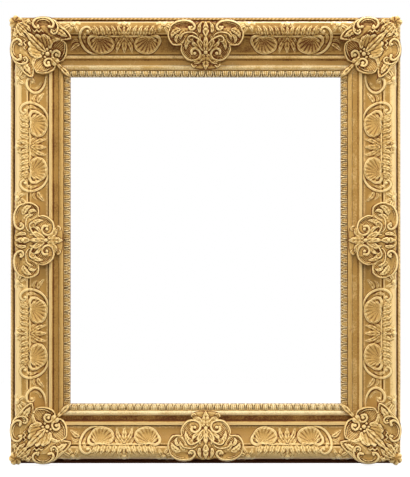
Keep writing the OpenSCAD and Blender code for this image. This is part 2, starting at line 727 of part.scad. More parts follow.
crescent(right, 1);  // crescent_right_lower
buds(top);  // buds_top
buds(left);  // buds_left
buds(bottom);  // buds_bottom
buds(right);  // buds_right
frame_screws();
hanger(left);  // hanger_left
hanger(right);  // hanger_right
hanger_screws();
ring(left);  // ring_left
ring(right);  // ring_right
turn_button(top, 0);  // turn_button_top
turn_button(bottom, 0);  // turn_button_bottom
turn_button(left, 1);  // turn_button_left_upper
turn_button(left, 0);  // turn_button_left_lower
turn_button(right, 0);  // turn_button_right_upper
turn_button(right, 1);  // turn_button_right_lower
button_screws();
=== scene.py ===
# Ornate gilded picture frame, empty, made to hang on a wall.
# Lengths along a side (s), in from the outer edge (u) and out from the wall (h) are in millimetres,
# as on the bench, and become metres when a piece is put in its place.
import math

import bmesh
import bpy
import numpy as np
from mathutils import Matrix, Vector


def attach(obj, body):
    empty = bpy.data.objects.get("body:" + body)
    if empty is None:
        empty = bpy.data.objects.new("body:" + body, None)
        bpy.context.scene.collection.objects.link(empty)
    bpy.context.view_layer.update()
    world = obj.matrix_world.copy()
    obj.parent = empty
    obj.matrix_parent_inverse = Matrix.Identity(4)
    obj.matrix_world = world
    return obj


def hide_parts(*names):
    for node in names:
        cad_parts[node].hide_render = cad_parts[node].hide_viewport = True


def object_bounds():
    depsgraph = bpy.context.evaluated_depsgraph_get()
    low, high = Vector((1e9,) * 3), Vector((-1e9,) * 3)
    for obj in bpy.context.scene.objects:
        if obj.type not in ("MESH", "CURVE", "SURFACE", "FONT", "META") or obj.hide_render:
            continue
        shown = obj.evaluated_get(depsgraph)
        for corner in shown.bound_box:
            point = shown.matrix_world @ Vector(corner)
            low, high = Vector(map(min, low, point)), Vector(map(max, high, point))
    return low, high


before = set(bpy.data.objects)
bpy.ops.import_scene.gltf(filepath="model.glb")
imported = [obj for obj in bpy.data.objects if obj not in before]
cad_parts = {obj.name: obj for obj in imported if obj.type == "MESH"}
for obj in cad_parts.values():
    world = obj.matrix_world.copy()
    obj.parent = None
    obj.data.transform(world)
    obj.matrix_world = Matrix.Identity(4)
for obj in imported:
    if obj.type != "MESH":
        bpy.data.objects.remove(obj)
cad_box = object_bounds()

MM = 0.001

# Camera
# The photograph is taken straight on and from far off, so the rails show almost no perspective.
photo_px = (410, 477)
mm_per_px = 1.828
photo_middle = (205.6, 240.4)
camera_turn = -0.2
camera_lift = -0.4
camera_far = 6.0
lens = 150.0

camera_data = bpy.data.cameras.new("camera")
camera_data.lens = lens
camera_data.sensor_fit = "VERTICAL"
camera_data.sensor_height = lens * photo_px[1] * mm_per_px * MM / camera_far
camera_data.shift_x = (photo_px[0] / 2 - photo_middle[0]) / photo_px[1]
camera_data.shift_y = (photo_middle[1] - photo_px[1] / 2) / photo_px[1]
camera = bpy.data.objects.new("camera", camera_data)
look_from = Vector((
    math.sin(math.radians(camera_turn)) * camera_far,
    -math.cos(math.radians(camera_turn)) * camera_far,
    math.sin(math.radians(camera_lift)) * camera_far,
))
camera.location = look_from
camera.rotation_euler = (-look_from).to_track_quat("-Z", "Y").to_euler()
bpy.context.scene.collection.objects.link(camera)
bpy.context.scene.camera = camera
bpy.context.scene.view_settings.view_transform = "Standard"


# Light
# Two soft lamps above and in front, and one far out on either hand, so that slopes that look down stay
# dark as they do in the photograph. One more lights the back, and the room itself adds a little.
def soft_lamp(name, place, size, power, colour):
    data = bpy.data.lights.new(name, "AREA")
    data.shape = "SQUARE"
    data.size = size
    data.energy = power
    data.color = colour
    lamp = bpy.data.objects.new(name, data)
    lamp.location = place
    lamp.rotation_euler = (-Vector(place)).to_track_quat("-Z", "Y").to_euler()
    bpy.context.scene.collection.objects.link(lamp)


def combine(tree, way, first, second):
    node = tree.nodes.new("ShaderNodeMath")
    node.operation = way
    for slot, value in enumerate((first, second)):
        if isinstance(value, (int, float)):
            node.inputs[slot].default_value = value
        else:
            tree.links.new(value, node.inputs[slot])
    return node.outputs[0]


def shades(tree, share, stops):
    ramp = tree.nodes.new("ShaderNodeValToRGB")
    while len(ramp.color_ramp.elements) < len(stops):
        ramp.color_ramp.elements.new(0.5)
    for element, (at, colour) in zip(ramp.color_ramp.elements, stops):
        element.position = at
        element.color = (*colour, 1)
    tree.links.new(share, ramp.inputs["Fac"])
    return ramp.outputs["Color"]


def seen_straight(tree):
    # 1 for what the camera, a reflection or a clear material looks at, 0 for what only gives light
    path = tree.nodes.new("ShaderNodeLightPath")
    either = combine(tree, "MAXIMUM", path.outputs["Is Camera Ray"], path.outputs["Is Glossy Ray"])
    return combine(tree, "MAXIMUM", either, path.outputs["Is Transmission Ray"])


warm_white, soft_white = (1.0, 0.96, 0.92), (1.0, 0.97, 0.92)
soft_lamp("lamp_above", (0.2, -1.0, 2.3), 0.8, 44, warm_white)
soft_lamp("lamp_front", (0.3, -2.4, 1.3), 1.0, 26, warm_white)
soft_lamp("lamp_left", (-2.6, -0.35, 0.3), 1.0, 34, soft_white)
soft_lamp("lamp_right", (2.6, -0.35, 0.3), 1.0, 31, soft_white)
soft_lamp("lamp_behind", (0.6, 2.2, 1.9), 1.0, 30, soft_white)

# The room is dark below and pale above, and plain white where it is looked at
world = bpy.data.worlds.new("soft_room")
world.use_nodes = True
room = world.node_tree
room.nodes.clear()
room_place = room.nodes.new("ShaderNodeTexCoord")
room_split = room.nodes.new("ShaderNodeSeparateXYZ")
room_height = room.nodes.new("ShaderNodeMapRange")
room_height.inputs["From Min"].default_value = -1
room_light = room.nodes.new("ShaderNodeBackground")
room_light.inputs["Strength"].default_value = 0.12
white_behind = room.nodes.new("ShaderNodeBackground")
white_behind.inputs["Color"].default_value = (1, 1, 1, 1)
room_pick = room.nodes.new("ShaderNodeMixShader")
room_out = room.nodes.new("ShaderNodeOutputWorld")
room.links.new(room_place.outputs["Generated"], room_split.inputs[0])
room.links.new(room_split.outputs["Z"], room_height.inputs["Value"])
room_colour = shades(
    room, room_height.outputs["Result"], [(0.30, (0.10, 0.09, 0.08)), (0.62, (0.95, 0.96, 1.0))])
room.links.new(room_colour, room_light.inputs["Color"])
room.links.new(seen_straight(room), room_pick.inputs["Fac"])
room.links.new(room_light.outputs[0], room_pick.inputs[1])
room.links.new(white_behind.outputs[0], room_pick.inputs[2])
room.links.new(room_pick.outputs[0], room_out.inputs["Surface"])
bpy.context.scene.world = world

# Floor
# A plain pale floor under the frame's lower edge, not part of the object. It keeps the frame's shadow
# and is pale enough, where it is looked at, to run into the white behind it.
def as_mesh(name, bm):
    mesh = bpy.data.meshes.new(name)
    bm.to_mesh(mesh)
    bm.free()
    return mesh


def add_piece(name, bm, material, sharp=35):
    bmesh.ops.recalc_face_normals(bm, faces=bm.faces[:])
    mesh = as_mesh(name, bm)
    for polygon in mesh.polygons:
        polygon.use_smooth = True
    mesh.set_sharp_from_angle(angle=math.radians(sharp))
    mesh.materials.append(material)
    piece = bpy.data.objects.new(name, mesh)
    bpy.context.scene.collection.objects.link(piece)
    return piece


floor_half = 4
floor_bm = bmesh.new()
bmesh.ops.create_grid(floor_bm, x_segments=1, y_segments=1, size=floor_half)
bmesh.ops.translate(floor_bm, verts=floor_bm.verts[:], vec=(0, 0, cad_box[0][2] - MM))
floor_look = bpy.data.materials.new("pale_floor")
floor_look.use_nodes = True
floor_tree = floor_look.node_tree
floor_base = floor_tree.nodes["Principled BSDF"]
floor_base.inputs["Base Color"].default_value = (0.32, 0.32, 0.32, 1)
floor_base.inputs["Roughness"].default_value = 0.9
floor_glow = floor_tree.nodes.new("ShaderNodeEmission")
floor_glow.inputs["Strength"].default_value = 0.9
floor_dark = floor_tree.nodes.new("ShaderNodeEmission")
floor_dark.inputs["Strength"].default_value = 0
floor_pick = floor_tree.nodes.new("ShaderNodeMixShader")
floor_add = floor_tree.nodes.new("ShaderNodeAddShader")
floor_tree.links.new(seen_straight(floor_tree), floor_pick.inputs["Fac"])
floor_tree.links.new(floor_dark.outputs[0], floor_pick.inputs[1])
floor_tree.links.new(floor_glow.outputs[0], floor_pick.inputs[2])
floor_tree.links.new(floor_base.outputs[0], floor_add.inputs[0])
floor_tree.links.new(floor_pick.outputs[0], floor_add.inputs[1])
floor_tree.links.new(floor_add.outputs[0], floor_tree.nodes["Material Output"].inputs["Surface"])
add_piece("floor", floor_bm, floor_look)

# Back frame
# Four flat pine pieces, half-lapped at the corners and toned brown on the back and the edges.
# The wood is open-grained, with bands of darker late wood along each length.
outer_w = 710.0
outer_h = 812.0
back_t = 15.0


def new_look(name, metallic, roughness, specular=0.5):
    look = bpy.data.materials.new(name)
    look.use_nodes = True
    base = look.node_tree.nodes["Principled BSDF"]
    base.inputs["Metallic"].default_value = metallic
    base.inputs["Roughness"].default_value = roughness
    base.inputs["Specular IOR Level"].default_value = specular
    return look, look.node_tree, base


def object_place(tree, stretch=(1, 1, 1)):
    where = tree.nodes.new("ShaderNodeTexCoord")
    mapping = tree.nodes.new("ShaderNodeMapping")
    mapping.inputs["Scale"].default_value = stretch
    tree.links.new(where.outputs["Object"], mapping.inputs["Vector"])
    return mapping.outputs["Vector"]


def cloudy(tree, place, scale, detail=4.0, rough=0.55):
    cloud = tree.nodes.new("ShaderNodeTexNoise")
    cloud.inputs["Scale"].default_value = scale
    cloud.inputs["Detail"].default_value = detail
    cloud.inputs["Roughness"].default_value = rough
    tree.links.new(place, cloud.inputs["Vector"])
    return cloud.outputs["Fac"]


def blend_colours(tree, share, first, second):
    mix = tree.nodes.new("ShaderNodeMix")
    mix.data_type = "RGBA"
    for socket, value in (("Factor", share), ("A", first), ("B", second)):
        target = [i for i in mix.inputs if i.name == socket and i.enabled][0]
        if isinstance(value, tuple):
            target.default_value = (*value, 1)
        else:
            tree.links.new(value, target)
    return [o for o in mix.outputs if o.enabled][0]


def raise_grain(tree, base, height, strength, depth):
    bump = tree.nodes.new("ShaderNodeBump")
    bump.inputs["Strength"].default_value = strength
    bump.inputs["Distance"].default_value = depth
    tree.links.new(height, bump.inputs["Height"])
    tree.links.new(bump.outputs["Normal"], base.inputs["Normal"])


def pine_look(name, along_x):
    # The pattern is drawn out along the length and close-set across it
    look, tree, base = new_look(name, 0.0, 0.72, 0.3)
    place = object_place(tree, (3, 14, 42) if along_x else (42, 14, 3))
    grain = cloudy(tree, place, 2.4, 6.0, 0.62)
    rings = tree.nodes.new("ShaderNodeTexWave")
    rings.wave_type = "BANDS"
    rings.bands_direction = "Z" if along_x else "X"
    rings.inputs["Scale"].default_value = 0.55
    rings.inputs["Distortion"].default_value = 7.0
    rings.inputs["Detail"].default_value = 3.0
    tree.links.new(place, rings.inputs["Vector"])
    streaks = combine(tree, "ADD", combine(tree, "MULTIPLY", grain, 0.6),
                      combine(tree, "MULTIPLY", rings.outputs["Fac"], 0.4))
    wood = shades(
        tree, streaks, [(0.25, (0.17, 0.085, 0.038)), (0.5, (0.33, 0.19, 0.09)), (0.8, (0.46, 0.29, 0.15))])
    stain = cloudy(tree, object_place(tree), 9.0)
    stained = shades(tree, stain, [(0.4, (0, 0, 0)), (0.7, (0.55, 0.55, 0.55))])
    tree.links.new(blend_colours(tree, stained, wood, (0.15, 0.09, 0.05)), base.inputs["Base Color"])
    raise_grain(tree, base, grain, 0.25, 0.0006)
    return look


def dress(node, look):
    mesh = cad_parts[node].data
    mesh.materials.clear()
    mesh.materials.append(look)


pine_across = pine_look("pine_across", True)
pine_upright = pine_look("pine_upright", False)
for node in ("back_top", "back_bottom"):
    dress(node, pine_across)
for node in ("back_left", "back_right"):
    dress(node, pine_upright)

# Face moulding
# Mitred softwood lengths of one section: leafy edge, side hollow, torus, quirk, scooped panel, groove,
# fillet and cove. Laid with gesso, red bole and gold leaf, and glued and screwed on the back frame.
edge_w, side_hollow_w, torus_w, quirk_w, panel_w = 5.4, 3.4, 24.5, 1.4, 32.9
groove_w, fillet_w, cove_w, slip_w = 2.4, 7.0, 10.0, 22.0
torus_lean = 0.53
torus_u = edge_w + side_hollow_w
crown_u = torus_u + torus_w * torus_lean
quirk_u = torus_u + torus_w
panel_u = quirk_u + quirk_w
groove_u = panel_u + panel_w
fillet_u = groove_u + groove_w
cove_u = fillet_u + fillet_w
slip_u = cove_u + cove_w
rail_w = slip_u + slip_w
edge_h, side_h, torus_h, torus_drop, quirk_h = 18.5, 34.0, 54.2, 8.0, 43.6
panel_h, panel_low_h, groove_h, fillet_h, cove_h = 45.5, 27.7, 25.5, 30.5, 24.5
torus_foot_h = side_h + 3
torus_tip = torus_w * (1 - torus_lean)
arris = 0.6
scoop_from = 25
scoop_rx = (panel_w - 2.5) / math.cos(math.radians(scoop_from))
scoop_ry = (panel_h - arris - panel_low_h) / (1 - math.sin(math.radians(scoop_from)))
fillet_slope = 2.2
cove_rise = 1.0
close = 0.02


def oval(cu, ch, ru, rh, start, end, parts):
    turn = np.radians(np.linspace(start, end, parts + 1))
    return [(cu + ru * math.cos(a), ch + rh * math.sin(a)) for a in turn]


def moulding_section():
    # Points in from the outer edge and out from the wall, each hollow or round a piece of an oval
    line = oval(edge_w / 2, edge_h, edge_w / 2, 2.5, 180, 0, 8)
    line += oval(edge_w + close, side_h, side_hollow_w - 3 * close, side_h - edge_h + 0.5, -90, 0, 10)
    line += [(torus_u - close, torus_foot_h)]
    line += oval(crown_u, torus_foot_h, torus_w * torus_lean - close, torus_h - torus_foot_h, 180, 90, 14)
    line += oval(crown_u, torus_h - torus_drop, torus_tip - close, torus_drop, 84, 0, 12)
    line += [(quirk_u, quirk_h), (panel_u - close, quirk_h)]
    line += [(panel_u, panel_h - arris), (panel_u + arris, panel_h)]
    line += oval(groove_u - close, panel_low_h + scoop_ry, scoop_rx, scoop_ry, 180 + scoop_from, 270, 18)
    line += [(groove_u, groove_h), (fillet_u - close, groove_h), (fillet_u, fillet_h)]
    line += [(cove_u - fillet_slope, fillet_h), (cove_u + 0.4, cove_h + 0.4)]
    rise = np.linspace(0, 1, 9)
    line += [(cove_u + 1 + (cove_w - 1 - close) * k, cove_h + cove_rise * k ** 1.9) for k in rise]
    return line


face_line = np.array(moulding_section())


def face(u):
    # The height of the moulding's face
    return np.interp(u, face_line[:, 0], face_line[:, 1])


SIDES = ("top", "left", "bottom", "right")


def reach(side):
    return (outer_h if side % 2 == 0 else outer_w) / 2


def run(side):
    return outer_w if side % 2 == 0 else outer_h


def at_side(side, along=0.0, flip=False):
    # From a length lying on the bench, outer edge at the back, to its side of the standing frame
    stand = Matrix.Rotation(math.pi / 2, 4, "X") @ Matrix.Rotation(side * math.pi / 2, 4, "Z")
    place = Matrix.Translation((along * MM, reach(side) * MM, 0))
    return stand @ place @ Matrix.Diagonal((-1 if flip else 1, 1, 1, 1))


# A piece's "relief" runs from 0, dark bole, to 1, bright gold. Each length also gets painted light and shade
# of its own, by the way it faces: on the steep outer face, on the panel and in the cove. The underside of
# the bottom length is painted shade, near black.
light_paint_by_side = {
    "top": (-0.22, -0.18, 0.0), "left": (0.36, 0.0, -0.1),
    "bottom": (0.18, 0.0, -0.28), "right": (0.24, 0.0, 0.08)}
darkest, brightest = 0.05, 0.95
underside_u = 10.0
inner_u = slip_u - 12
around_u = 2.2


def section_tone(side, u, h):
    outer, panel, inner = light_paint_by_side[SIDES[side]]
    # Painted shade: the underside of the bottom length is near black
    if SIDES[side] == "bottom" and u < underside_u:
        return darkest
    around = (face(u - around_u) + face(u + around_u)) / 2
    # Painted light or shade for this side and band
    painted_by_side = outer if u < crown_u else inner if u > inner_u else panel
    return float(np.clip(0.5 + painted_by_side + (h - around) * 0.16, darkest, brightest))


edge_pitch, edge_lift, edge_rise, edge_foot = 7.2, 0.3, 2.6, 2
edge_bright = 3.4


def edge_relief(side, s, u):
    # A row of small leaves that lean along the edge
    lean = (s / edge_pitch + u / (1.6 * edge_w)) % 1.0
    swell = np.sin(np.pi * lean) ** 0.5 * np.sin(np.pi * np.clip(u / edge_w, 0, 1)) ** 0.4
    h = edge_h + edge_lift + edge_rise * swell
    # Painted shade: the edge leaves on the bottom length are nearly dark
    painted_by_side = 0.1 if SIDES[side] == "bottom" else 1.0
    return h, np.clip((h - edge_h) / edge_bright, darkest, 0.9) * painted_by_side


def mitred_strip(side, from_u, width, cell, rows, relief, foot):
    # A fine strip between two mitres, raised to its relief and closed underneath
    bm = bmesh.new()
    half = run(side) / 2 - from_u
    bmesh.ops.create_grid(bm, x_segments=int(2 * half / cell), y_segments=rows, size=0.5)
    layer = bm.verts.layers.float.new("relief")
    spots = np.array([vert.co for vert in bm.verts])
    u = from_u + (0.5 - spots[:, 1]) * width
    s = spots[:, 0] * 2 * (run(side) / 2 - u)
    h, tone = relief(side, s, u)
    for vert, a, b, c, t in zip(bm.verts, s, u, h, tone):
        vert.co = (a * MM, -b * MM, c * MM)
        vert[layer] = t
    under = bmesh.ops.extrude_face_region(bm, geom=bm.faces[:], use_keep_orig=True)["geom"]
    for vert in under:
        if isinstance(vert, bmesh.types.BMVert):
            vert.co.z = foot * MM
    return bm


def length_of_moulding(side):
    # The section run to length and cut at both mitres, with its edge of leaves
    bm = bmesh.new()
    line = [(face_line[0][0], back_t)] + list(face_line) + [(face_line[-1][0], back_t)]
    start = -run(side) / 2
    verts = [bm.verts.new((start * MM, -u * MM, h * MM)) for u, h in line]
    end_face = bm.faces.new(verts)
    far = bmesh.ops.extrude_face_region(bm, geom=[end_face], use_keep_orig=True)["geom"]
    moved = [g for g in far if isinstance(g, bmesh.types.BMVert)]
    bmesh.ops.translate(bm, verts=moved, vec=(run(side) * MM, 0, 0))
    for end in (-1, 1):
        cut = bmesh.ops.bisect_plane(
            bm, geom=bm.verts[:] + bm.edges[:] + bm.faces[:], plane_co=(end * run(side) / 2 * MM, 0, 0),
            plane_no=(end, -1, 0), clear_outer=True)["geom_cut"]
        edges = [g for g in cut if isinstance(g, bmesh.types.BMEdge)]
        bmesh.ops.contextual_create(bm, geom=edges)
    layer = bm.verts.layers.float.new("relief")
    for vert in bm.verts:
        vert[layer] = section_tone(side, -vert.co.y / MM, vert.co.z / MM)
    leaves = as_mesh("edge_leaves", mitred_strip(side, 0, edge_w, 0.9, 5, edge_relief, edge_h - edge_foot))
    bm.from_mesh(leaves)
    bpy.data.meshes.remove(leaves)
    bmesh.ops.transform(bm, matrix=at_side(side), verts=bm.verts[:])
    return bm


def gold_look(name, low, mid, high, rough, fine=1.0):
    # Water gilding over red bole: rubbed through to paler metal on what stands up, toned and dusty
    # red-brown in what lies deep, with patches and a grit that shift the tone from place to place
    look, tree, base = new_look(name, 0.0, rough, 0.2)
    place = object_place(tree)
    relief = tree.nodes.new("ShaderNodeAttribute")
    relief.attribute_name = "relief"
    patch = cloudy(tree, place, 30.0, 6.0, 0.65)
    grit = cloudy(tree, place, 330.0 * fine, 4.0, 0.7)
    depth = relief.outputs["Fac"]
    for cloud, share in ((patch, 0.5), (grit, 0.55)):
        shift = combine(tree, "MULTIPLY", combine(tree, "SUBTRACT", cloud, 0.5), share)
        depth = combine(tree, "ADD", depth, shift)
    colour = shades(tree, depth, [(0.12, low), (0.40, mid), (0.56, mid), (0.80, high)])
    rubbed = cloudy(tree, place, 95.0, 6.0, 0.7)
    bole = shades(tree, rubbed, [(0.62, (0, 0, 0)), (0.74, (0.5, 0.5, 0.5))])
    tree.links.new(blend_colours(tree, bole, colour, (0.30, 0.095, 0.035)), base.inputs["Base Color"])
    gloss = shades(tree, depth, [(0.2, (0.78, 0.78, 0.78)), (0.7, (rough, rough, rough))])
    tree.links.new(gloss, base.inputs["Roughness"])
    raise_grain(tree, base, combine(tree, "ADD", grit, combine(tree, "MULTIPLY", rubbed, 0.6)), 0.5, 0.0005)
    return look


gold_moulding = gold_look(
    "gold_on_moulding", (0.13, 0.040, 0.010), (0.50, 0.285, 0.070), (0.90, 0.65, 0.28), 0.36)
for side in range(4):
    piece = add_piece("moulding_" + SIDES[side], length_of_moulding(side), gold_moulding, 38)
    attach(piece, "frame")
    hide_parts("rail_" + SIDES[side])

# Sight slips
# Narrow mitred lengths beside the picture, with a bead, a fine groove and a rounded edge carved with
# leaf and dart: one broad leaf and one dart every 14.5 mm. Glued in the mouldings.
slip_bead_h, bead_r, slip_h, sight_h, sight_r = 28.5, 4.5, 27.0, 19.0, 7.5
leaf_pitch, leaf_half = 14.5, 5.4
leaf_root_u = slip_u + 10.8
cut_deep, leaf_deep, rib_rise = 3.4, 1.7, 0.9
# Painted light and shade by side: darker on the left and right slips, lighter on the bottom one
slip_light_paint_by_side = {"top": 0.0, "left": -0.17, "bottom": 0.12, "right": -0.17}
slip_line = np.array(
    oval(slip_u + bead_r, slip_bead_h - bead_r, bead_r, bead_r, 175, 0, 12)
    + [(slip_u + 10, slip_bead_h - bead_r), (leaf_root_u, slip_h - 1.6)]
    + oval(rail_w - sight_r, sight_h, sight_r, slip_h - sight_h, 90, 0, 10))


def slip_face(u):
    return np.interp(u, slip_line[:, 0], slip_line[:, 1])


def slip_height(s, u):
    # One leaf: a rounded tongue that hangs towards the picture with a rib, and a thin dart between two
    t = np.clip((u - leaf_root_u) / (rail_w - leaf_root_u - 0.6), 0, 1)
    carved = np.clip((u - leaf_root_u + 0.4) / 0.8, 0, 1)
    x = np.abs((s / leaf_pitch) % 1.0 - 0.5) * leaf_pitch
    half = leaf_half * np.sqrt(np.clip(1 - t ** 2.6, 0, 1)) + 0.5
    inside = np.clip((half - x) / 1.0, 0, 1)
    rim = np.exp(-((x - half + 1.0) / 0.8) ** 2)
    rib = np.exp(-(x / 0.9) ** 2) * (1 - t)
    dart = np.exp(-((leaf_pitch / 2 - x) / (0.6 + 0.8 * t)) ** 2)
    cut = cut_deep * (1.0 - inside) * (1 - dart)
    dish = leaf_deep * inside * (1 - rim) * (0.35 + 0.65 * t)
    return slip_face(u) + carved * (-cut - dish + rib_rise * rib)


def slip_relief(side, s, u):
    h = slip_height(s, u)
    beside = ((1.4, 0), (-1.4, 0), (0, 1.2), (0, -1.2))
    around = sum(slip_height(s + ds, u + du) for ds, du in beside) / 4
    return h, np.clip(0.55 + slip_light_paint_by_side[SIDES[side]] + (h - around) * 0.75, 0, 1)


gold_slip = gold_look("gold_on_slip", (0.10, 0.034, 0.008), (0.64, 0.40, 0.125), (1.0, 0.84, 0.48), 0.34, 1.2)
for side in range(4):
    bm = mitred_strip(side, slip_u, slip_w - close, 0.72, 18, slip_relief, back_t)
    bmesh.ops.transform(bm, matrix=at_side(side), verts=bm.verts[:])
    piece = add_piece("slip_" + SIDES[side], bm, gold_slip, 50)
    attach(piece, "frame")
    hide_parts("sight_" + SIDES[side])

# Corner cartouches
# Four castings in composition, pressed warm in a carved mould and glued over the mitres: two lobed legs
# with rolled rims and hatched fields, arch scrolls, a fluted shell, leaves, and a leafy outer boss.
boss_rise = 3.0
boss_line = np.array([
    [-20, torus_h - 12], [0, torus_h - 6], [torus_u, torus_h + boss_rise - 1], [crown_u, torus_h + boss_rise],
    [panel_u, torus_h + boss_rise - 1.5], [panel_u + 13, torus_h - 4], [panel_u + 26, torus_h - 11],
    [cove_u, fillet_h + 5], [slip_u, slip_bead_h + 3.5], [rail_w + 4, slip_h + 2]])


def eased(points, parts=6):
    # A smooth line through given points
    p = np.array(points, float)
    p = np.vstack([2 * p[0] - p[1], p, 2 * p[-1] - p[-2]])
    t = (np.arange(parts) / parts)[:, None]
    spans = [
        0.5 * (2 * b + (c - a) * t + (2 * a - 5 * b + 4 * c - d) * t ** 2 + (3 * b - 3 * c + d - a) * t ** 3)
        for a, b, c, d in zip(p[:-3], p[1:-2], p[2:-1], p[3:])]
    return np.vstack(spans + [p[-2:-1]])


boss_curve = eased(boss_line, 5)


def boss(u):
    # The swelling ground of a cartouche, over the moulding
    return np.interp(u, boss_curve[:, 0], boss_curve[:, 1])


def feet(line, s, u):
    # For each point: the nearest span of the line, how far along that span its foot lies, and how far off
    a, d = line[:-1], line[1:] - line[:-1]
    es, eu = s[:, None] - a[:, 0], u[:, None] - a[:, 1]
    t = np.clip((es * d[:, 0] + eu * d[:, 1]) / np.maximum(np.sum(d * d, axis=1), 1e-9), 0, 1)
    away = (es - t * d[:, 0]) ** 2 + (eu - t * d[:, 1]) ** 2
    best = np.argmin(away, axis=1)
    rows = np.arange(len(s))
    return best, t[rows, best], np.sqrt(away[rows, best])


def nearest(line, s, u):
    # Distance to a line, and how far along it
    best, t, away = feet(line, s, u)
    spans = line[1:] - line[:-1]
    lengths = np.sqrt(np.maximum(np.sum(spans * spans, axis=1), 1e-9))
    walked = np.concatenate([[0], np.cumsum(lengths)])
    return away, (walked[best] + t * lengths[best]) / walked[-1]


def closed(points, parts=5):
    line = eased([points[-1]] + list(points) + [points[0], points[1]], parts)
    return line[parts:-parts]


def within(line, s, u):
    # Even-odd test of points against a closed line
    inside = np.zeros(len(s), bool)
    for (s0, u0), (s1, u1) in zip(line, np.roll(line, -1, axis=0)):
        if u0 == u1:
            continue
        crosses = ((u0 > u) != (u1 > u)) & (s < (s1 - s0) * (u - u0) / (u1 - u0) + s0)
        inside ^= crosses
    return inside


ditch_w, foot_w = 1.3, 1.9
shell_turn = 0.95


class Relief:
    # The height of a casting over its ground, built up stroke by stroke as a carver models the mould
    def __init__(self, s, u, ground):
        self.s = s
        self.u = u
        self.ground = ground
        self.h = ground.copy()
        self.foot = None

    def near(self, line, width):
        low = line.min(axis=0) - width
        high = line.max(axis=0) + width
        return np.nonzero((self.s > low[0]) & (self.s < high[0]) & (self.u > low[1]) & (self.u < high[1]))[0]

    def ditch(self, at, d, w, depth):
        # The cut that sets a stroke off from what lies beside it. A thin casting has a narrow foot there
        if self.foot is not None:
            beside = (d > w) & (d < w + foot_w)
            self.h[at] = np.where(beside, np.maximum(self.h[at], self.foot[at]), self.h[at])
            return
        self.h[at] -= np.where(d > w, 0.8 * depth * np.exp(-((d - w) / ditch_w) ** 2), 0)

    def scroll(self, points, width, rise, lift=0.0, ends=(0.35, 0.35), flute=0.0, parts=6, ditch=0.7):
        # A rolled rim, its ends drawn thin, maybe with a flute along it
        line = eased(points, parts)
        at = self.near(line, width + 3)
        if len(at) == 0:
            return
        d, t = nearest(line, self.s[at], self.u[at])
        end = np.where(t < 0.5, ends[0], ends[1])
        w = width * (end + (1 - end) * np.sin(np.pi * np.clip(t, 0, 1)) ** 0.6)
        self.ditch(at, d, w, ditch)
        q = np.clip(d / w, 0, 1)
        top = self.ground[at] + lift + rise * (0.4 + 0.6 * w / width) * np.sqrt(1 - q ** 2)
        top = top - flute * np.exp(-(q / 0.3) ** 2)
        self.h[at] = np.where(d < w, np.maximum(self.h[at], top), self.h[at])

    def leaf(self, points, width, rise, lobes=4, lift=0.0, parts=5, ditch=0.7):
        # A carved leaf with scalloped sides, a sunk midrib and veins that sweep to its tip
        line = eased(points, parts)
        at = self.near(line, width + 2.5)
        if len(at) == 0:
            return
        d, t = nearest(line, self.s[at], self.u[at])
        t = np.clip(t, 0.001, 0.999)
        body = np.sin(np.pi * t ** 0.72) ** 0.7
        w = width * body * (0.72 + 0.28 * np.abs(np.cos(np.pi * lobes * t))) + 0.3
        v = np.clip(d / w, 0, 1)
        self.ditch(at, d, w, ditch)
        fold = 0.55 + 0.45 * np.abs(np.cos(np.pi * (lobes * t - 0.6 * v)))
        top = self.ground[at] + lift + rise * np.sqrt(np.clip(1 - v ** 2, 0, 1)) * fold
        top = top - 0.5 * rise * np.exp(-(d / (0.11 * width + 0.3)) ** 2)
        self.h[at] = np.where(d < w, np.maximum(self.h[at], top), self.h[at])

    def button(self, c, r, rise, lift=0.0):
        # A round eye in a ring
        d = np.hypot(self.s - c[0], self.u - c[1])
        top = self.ground + lift + rise * np.sqrt(np.clip(1 - (d / r) ** 2, 0, 1))
        self.h -= 1.0 * np.exp(-((d - r - 0.5) / 0.9) ** 2) * (d > r)
        self.h = np.where(d < r, np.maximum(self.h, top), self.h)

    def sink(self, c, r, depth):
        # A hollow scooped with a gouge
        d = np.hypot((self.s - c[0]) / r[0], (self.u - c[1]) / r[1])
        self.h -= depth * np.clip(1 - d ** 2, 0, 1) ** 0.8

    def field(self, points, depth, pitch=0.0, cut=0.5):
        # A smooth field dished within its outline, maybe crossed by slanting cuts
        edge = closed(points)
        at = self.near(edge, 0)
        if len(at) == 0:
            return
        d, _ = nearest(edge, self.s[at], self.u[at])
        inside = within(edge, self.s[at], self.u[at])
        sunk = depth * np.clip(d / 4.0, 0, 1) ** 0.5
        if pitch:
            slant = self.s[at] + self.u[at] + 1.5 * np.sin(self.s[at] / 6.0)
            sunk = sunk + cut * np.abs(np.sin(np.pi * slant / pitch)) ** 1.4
        self.h[at] = np.where(inside, self.ground[at] - sunk, self.h[at])

    def shell(self, foot, reach_out, flutes, rise):
        # Flutes that spread from a foot on the mitre, longest in the middle, and end in a scalloped edge
        away_s, away_u = foot[0] - self.s, foot[1] - self.u
        far = np.hypot(away_s, away_u)
        turn = np.abs(np.arctan2(away_s, away_u) - math.pi / 4)
        wave = np.abs(np.cos(flutes * turn / 2))
        edge = reach_out * (1 - 0.36 * np.clip(turn / shell_turn, 0, 1) ** 1.2) * (0.88 + 0.12 * wave)
        share = np.clip(far / edge, 0, 1)
        inside = (far < edge) & (turn < shell_turn)
        fade = np.clip((shell_turn - turn) / 0.1, 0, 1)
        top = self.ground + (rise * share ** 0.7 * (0.35 + 0.65 * wave ** 0.6) + 0.4) * (0.4 + 0.6 * fade)
        cut = 1.3 * np.exp(-((far - edge) / 1.8) ** 2) * (turn < shell_turn + 0.03)
        self.h -= np.where(inside, 0, cut)
        self.h = np.where(inside, np.maximum(top, self.ground), self.h)


